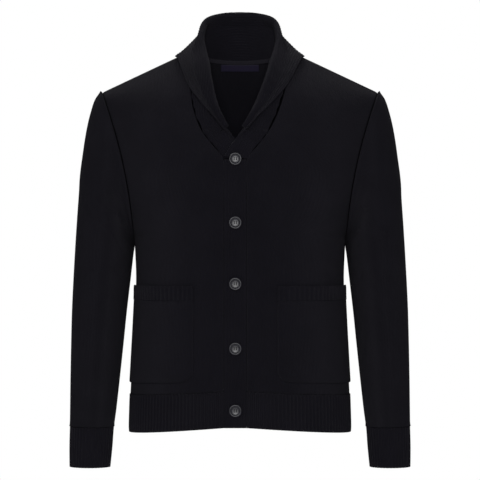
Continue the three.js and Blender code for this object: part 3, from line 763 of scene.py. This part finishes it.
def hole_spots():
    return [(a * HOLE_SPREAD, b * HOLE_SPREAD) for a in (-1, 1) for b in (-1, 1)]


def button_blank(index):
    bm = bmesh.new()
    verts = [bm.verts.new((r * MM, 0, -h * MM)) for r, h in PROFILE]
    edges = [bm.edges.new(pair) for pair in zip(verts, verts[1:])]
    bmesh.ops.spin(
        bm, geom=verts + edges, cent=(0, 0, 0), axis=(0, 0, 1), angle=2 * math.pi,
        steps=64, use_merge=True,
    )
    bmesh.ops.remove_doubles(bm, verts=bm.verts, dist=1e-7)
    bmesh.ops.recalc_face_normals(bm, faces=bm.faces)
    return mesh_object(f"button_{index + 1}_disc", bm)


def hole_cutter():
    bm = bmesh.new()
    for x, y in hole_spots():
        made = bmesh.ops.create_cone(
            bm, cap_ends=True, segments=16, depth=12 * MM,
            radius1=HOLE_RADIUS * MM, radius2=HOLE_RADIUS * MM,
        )
        bmesh.ops.translate(bm, verts=made["verts"], vec=(x * MM, y * MM, 0))
    return mesh_object("hole_cutter", bm)


def place_button(mesh, z, out):
    bm = bmesh.new()
    bm.from_mesh(mesh)
    for vert in bm.verts:
        x, y, h = vert.co
        vert.co = (x + CLOSURE_X * MM, h + out * MM, y + z * MM)
    bmesh.ops.recalc_face_normals(bm, faces=bm.faces)
    bm.to_mesh(mesh)
    bm.free()


def make_button(index, z):
    disc = button_blank(index)
    cutter = hole_cutter()
    cut = disc.modifiers.new("holes", "BOOLEAN")
    cut.operation = "DIFFERENCE"
    cut.solver = "EXACT"
    cut.object = cutter
    shaped = bpy.data.meshes.new_from_object(disc.evaluated_get(bpy.context.evaluated_depsgraph_get()))
    disc.modifiers.clear()
    disc.data = shaped
    bpy.data.objects.remove(cutter)
    out = face_y(z) - BAND_PROUD - (TOP_BUTTON_GAP if index == 0 else BUTTON_GAP)
    place_button(shaped, z, out)
    shaped.set_sharp_from_angle(angle=math.radians(40))
    thread = bmesh.new()
    for x in (-1, 1):
        for offset in (-THREAD_SPREAD, THREAD_SPREAD):
            made = bmesh.ops.create_uvsphere(thread, u_segments=12, v_segments=8, radius=1.0)
            bmesh.ops.scale(thread, vec=[size * MM for size in THREAD_SIZE], verts=made["verts"])
            shift = ((x * HOLE_SPREAD + offset) * MM, 0, -THREAD_RISE * MM)
            bmesh.ops.translate(thread, vec=shift, verts=made["verts"])
    threads = mesh_object(f"button_{index + 1}_thread", thread)
    place_button(threads.data, z, out)
    threads.data.shade_smooth()
    return disc, threads


buttons = [make_button(i, z) for i, z in enumerate(BUTTON_HEIGHTS)]
print("buttons", len(buttons))

# %% [markdown]
# The yarn is a near-black navy with a soft, dry surface. Each material builds its stitches from the
# cloth's UV map, which is in metres, adds a slight heather and a fuzzy sheen at grazing angles.


# %% Node helpers
class Nodes:
    def __init__(self, name, roughness, specular):
        self.material = bpy.data.materials.new(name)
        self.material.use_nodes = True
        self.tree = self.material.node_tree
        self.shader = self.tree.nodes["Principled BSDF"]
        self.shader.inputs["Roughness"].default_value = roughness
        self.shader.inputs["Specular IOR Level"].default_value = specular

    def add(self, kind, **settings):
        node = self.tree.nodes.new(kind)
        for key, value in settings.items():
            setattr(node, key, value)
        return node

    def link(self, source, target):
        self.tree.links.new(source, target)

    def math(self, operation, first, second=None):
        node = self.add("ShaderNodeMath", operation=operation)
        for socket, value in zip(node.inputs, (first, second)):
            if hasattr(value, "links"):
                self.link(value, socket)
            elif value is not None:
                socket.default_value = value
        return node.outputs[0]

    def noise(self, scale, detail):
        node = self.add("ShaderNodeTexNoise")
        node.inputs["Scale"].default_value = scale
        node.inputs["Detail"].default_value = detail
        self.link(self.add("ShaderNodeTexCoord").outputs["Object"], node.inputs["Vector"])
        return node.outputs["Fac"]

    def blend(self, factor, dark, light):
        ramp = self.add("ShaderNodeValToRGB")
        ramp.color_ramp.elements[0].color = (*dark, 1)
        ramp.color_ramp.elements[0].position = 0.3
        ramp.color_ramp.elements[1].color = (*light, 1)
        ramp.color_ramp.elements[1].position = 0.72
        self.link(factor, ramp.inputs["Fac"])
        return ramp.outputs["Color"]

    def bump(self, height, distance):
        node = self.add("ShaderNodeBump")
        node.inputs["Distance"].default_value = distance
        node.inputs["Strength"].default_value = 1.0
        self.link(height, node.inputs["Height"])
        self.link(node.outputs["Normal"], self.shader.inputs["Normal"])


# %% Knitted finishes
WALE = 0.0026
COURSE = 0.0020


def knit_material(name, dark, light, stitch_depth, fuzz):
    m = Nodes(name, 0.92, 0.12)
    m.shader.inputs["Sheen Weight"].default_value = fuzz
    m.shader.inputs["Sheen Roughness"].default_value = 0.45
    m.shader.inputs["Sheen Tint"].default_value = (0.55, 0.53, 0.62, 1)
    split = m.add("ShaderNodeSeparateXYZ")
    m.link(m.add("ShaderNodeUVMap", uv_map="Cloth").outputs["UV"], split.inputs["Vector"])
    across = m.math("FRACT", m.math("DIVIDE", split.outputs["X"], WALE))
    lean = m.math("ABSOLUTE", m.math("SUBTRACT", across, 0.5))
    along = m.math("ADD", m.math("DIVIDE", split.outputs["Y"], COURSE), m.math("MULTIPLY", lean, 1.6))
    loops = m.math("SINE", m.math("MULTIPLY", along, 2 * math.pi))
    column = m.math("SINE", m.math("MULTIPLY", across, math.pi))
    stitch = m.math("ADD", m.math("MULTIPLY", loops, 0.35), m.math("POWER", column, 0.6))
    heather = m.noise(900.0, 3.0)
    patches = m.noise(22.0, 4.0)
    wool = m.math("ADD", m.math("MULTIPLY", heather, 0.7), m.math("MULTIPLY", patches, 0.3))
    m.link(m.blend(wool, dark, light), m.shader.inputs["Base Color"])
    m.bump(m.math("ADD", stitch, m.math("MULTIPLY", heather, 0.8)), stitch_depth)
    return m.material


def plain_material(name, dark, light, roughness, grain, depth, specular):
    m = Nodes(name, roughness, specular)
    fleck = m.noise(grain, 5.0)
    m.link(m.blend(fleck, dark, light), m.shader.inputs["Base Color"])
    m.bump(fleck, depth)
    return m.material


KNIT_DARK, KNIT_LIGHT = (0.0046, 0.0041, 0.0074), (0.0108, 0.0098, 0.0152)
RIB_DARK, RIB_LIGHT = (0.0042, 0.0038, 0.0068), (0.0104, 0.0094, 0.0144)
knit = knit_material("navy_stocking_stitch", KNIT_DARK, KNIT_LIGHT, 0.0009, 0.07)
rib = knit_material("navy_rib", RIB_DARK, RIB_LIGHT, 0.0006, 0.07)
# Plain finishes: name, dark, light, roughness, grain a metre, depth in metres, specular
PLAIN = (
    ("neck_tape_twill", (0.012, 0.011, 0.016), (0.028, 0.026, 0.034), 0.85, 1500, 0.0002, 0.15),
    ("bare_label_satin", (0.012, 0.009, 0.026), (0.022, 0.018, 0.042), 0.5, 1800, 0.00008, 0.35),
    ("dark_horn_resin", (0.007, 0.0068, 0.010), (0.026, 0.025, 0.036), 0.36, 260, 0.00004, 0.5),
    ("button_thread", (0.006, 0.006, 0.008), (0.014, 0.013, 0.017), 0.8, 2500, 0.0001, 0.2),
)
tape, label, resin, thread = [plain_material(*row) for row in PLAIN]

SLOTS = {
    "back": "knit", "front_left": "knit", "front_right": "knit", "sleeve_left": "knit",
    "sleeve_right": "knit", "pocket_left": "knit", "pocket_right": "knit",
    "neck_tape": "tape", "neck_label": "label",
}
FINISHES = {"knit": knit, "rib": rib, "tape": tape, "label": label}
for node, piece in pieces.items():
    slot = SLOTS.get(node, "rib")
    piece.data.materials.append(FINISHES[slot])
    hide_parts(node)
    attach(piece, "root")
for index, (disc, threads) in enumerate(buttons):
    for made, finish in ((disc, resin), (threads, thread)):
        made.data.materials.append(finish)
        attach(made, "root")
    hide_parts(f"button_{index + 1}")
print("finished", len(pieces), "cloth pieces")

# %% [markdown]
# The body and sleeves are shaped at the armholes, so their flat area is less than their width times their
# length.

# %% [markdown]
# The photo is taken level, from far away, in soft even light on white. A white world gives the
# backdrop, a plain floor disc lies below, and two large soft lights stand in front.

# %% Stage, light and camera
PHOTO_SCALE = 1.785 * MM
PHOTO_SIDE = 480
CENTRE_Z = (55 - PHOTO_SIDE / 2) * PHOTO_SCALE
CAMERA_DISTANCE = 4.5
FLOOR_Z = -1.48

scene = bpy.context.scene
scene.view_settings.view_transform = "Standard"
bm = bmesh.new()
bmesh.ops.create_circle(bm, cap_ends=True, segments=96, radius=3.0)
bmesh.ops.translate(bm, verts=bm.verts, vec=(0, 0, FLOOR_Z))
floor = mesh_object("pale_floor", bm)
floor.data.materials.append(
    plain_material("floor_paint", (0.80, 0.80, 0.80), (0.84, 0.84, 0.84), 0.9, 3, 0.0, 0.1)
)

world = bpy.data.worlds.new("white_studio")
scene.world = world
world.use_nodes = True
tree = world.node_tree
backdrop = tree.nodes["Background"]
backdrop.inputs["Color"].default_value = (1, 1, 1, 1)
backdrop.inputs["Strength"].default_value = 1.0
fill = tree.nodes.new("ShaderNodeBackground")
fill.inputs["Color"].default_value = (1, 1, 1, 1)
fill.inputs["Strength"].default_value = 0.125
path = tree.nodes.new("ShaderNodeLightPath")
mix = tree.nodes.new("ShaderNodeMixShader")
tree.links.new(path.outputs["Is Camera Ray"], mix.inputs["Fac"])
tree.links.new(fill.outputs["Background"], mix.inputs[1])
tree.links.new(backdrop.outputs["Background"], mix.inputs[2])
tree.links.new(mix.outputs["Shader"], tree.nodes["World Output"].inputs["Surface"])


def soft_light(name, place, size, power):
    data = bpy.data.lights.new(name, "AREA")
    data.shape = "DISK"
    data.size = size
    data.energy = power
    light = bpy.data.objects.new(name, data)
    bpy.context.scene.collection.objects.link(light)
    light.location = place
    aim = np.array((0, 0, CENTRE_Z)) - np.array(place)
    light.rotation_euler = (
        math.atan2(math.hypot(aim[0], aim[1]), -aim[2]), 0, math.atan2(aim[1], aim[0]) - math.pi / 2,
    )
    return light


# Soft lights: name, place, size, power
LIGHTS = (
    ("key_left", (-2.0, -3.4, 1.5), 1.8, 18),
    ("key_right", (2.2, -3.2, 1.2), 1.8, 8),
    ("front", (0.0, -5.2, 0.3), 1.4, 108),
    ("top_back", (0.0, 1.8, 2.4), 1.6, 30),
)
for row in LIGHTS:
    soft_light(*row)
print("lights", len(LIGHTS))

camera = bpy.data.cameras.new("photo_camera")
camera.sensor_width = 36
camera.lens = 36 * CAMERA_DISTANCE / (PHOTO_SIDE * PHOTO_SCALE)
camera_object = bpy.data.objects.new("photo_camera", camera)
scene.collection.objects.link(camera_object)
camera_object.location = (0, -CAMERA_DISTANCE, CENTRE_Z)
camera_object.rotation_euler = (math.pi / 2, 0, 0)
scene.camera = camera_object
print("camera", round(camera.lens), "mm lens")
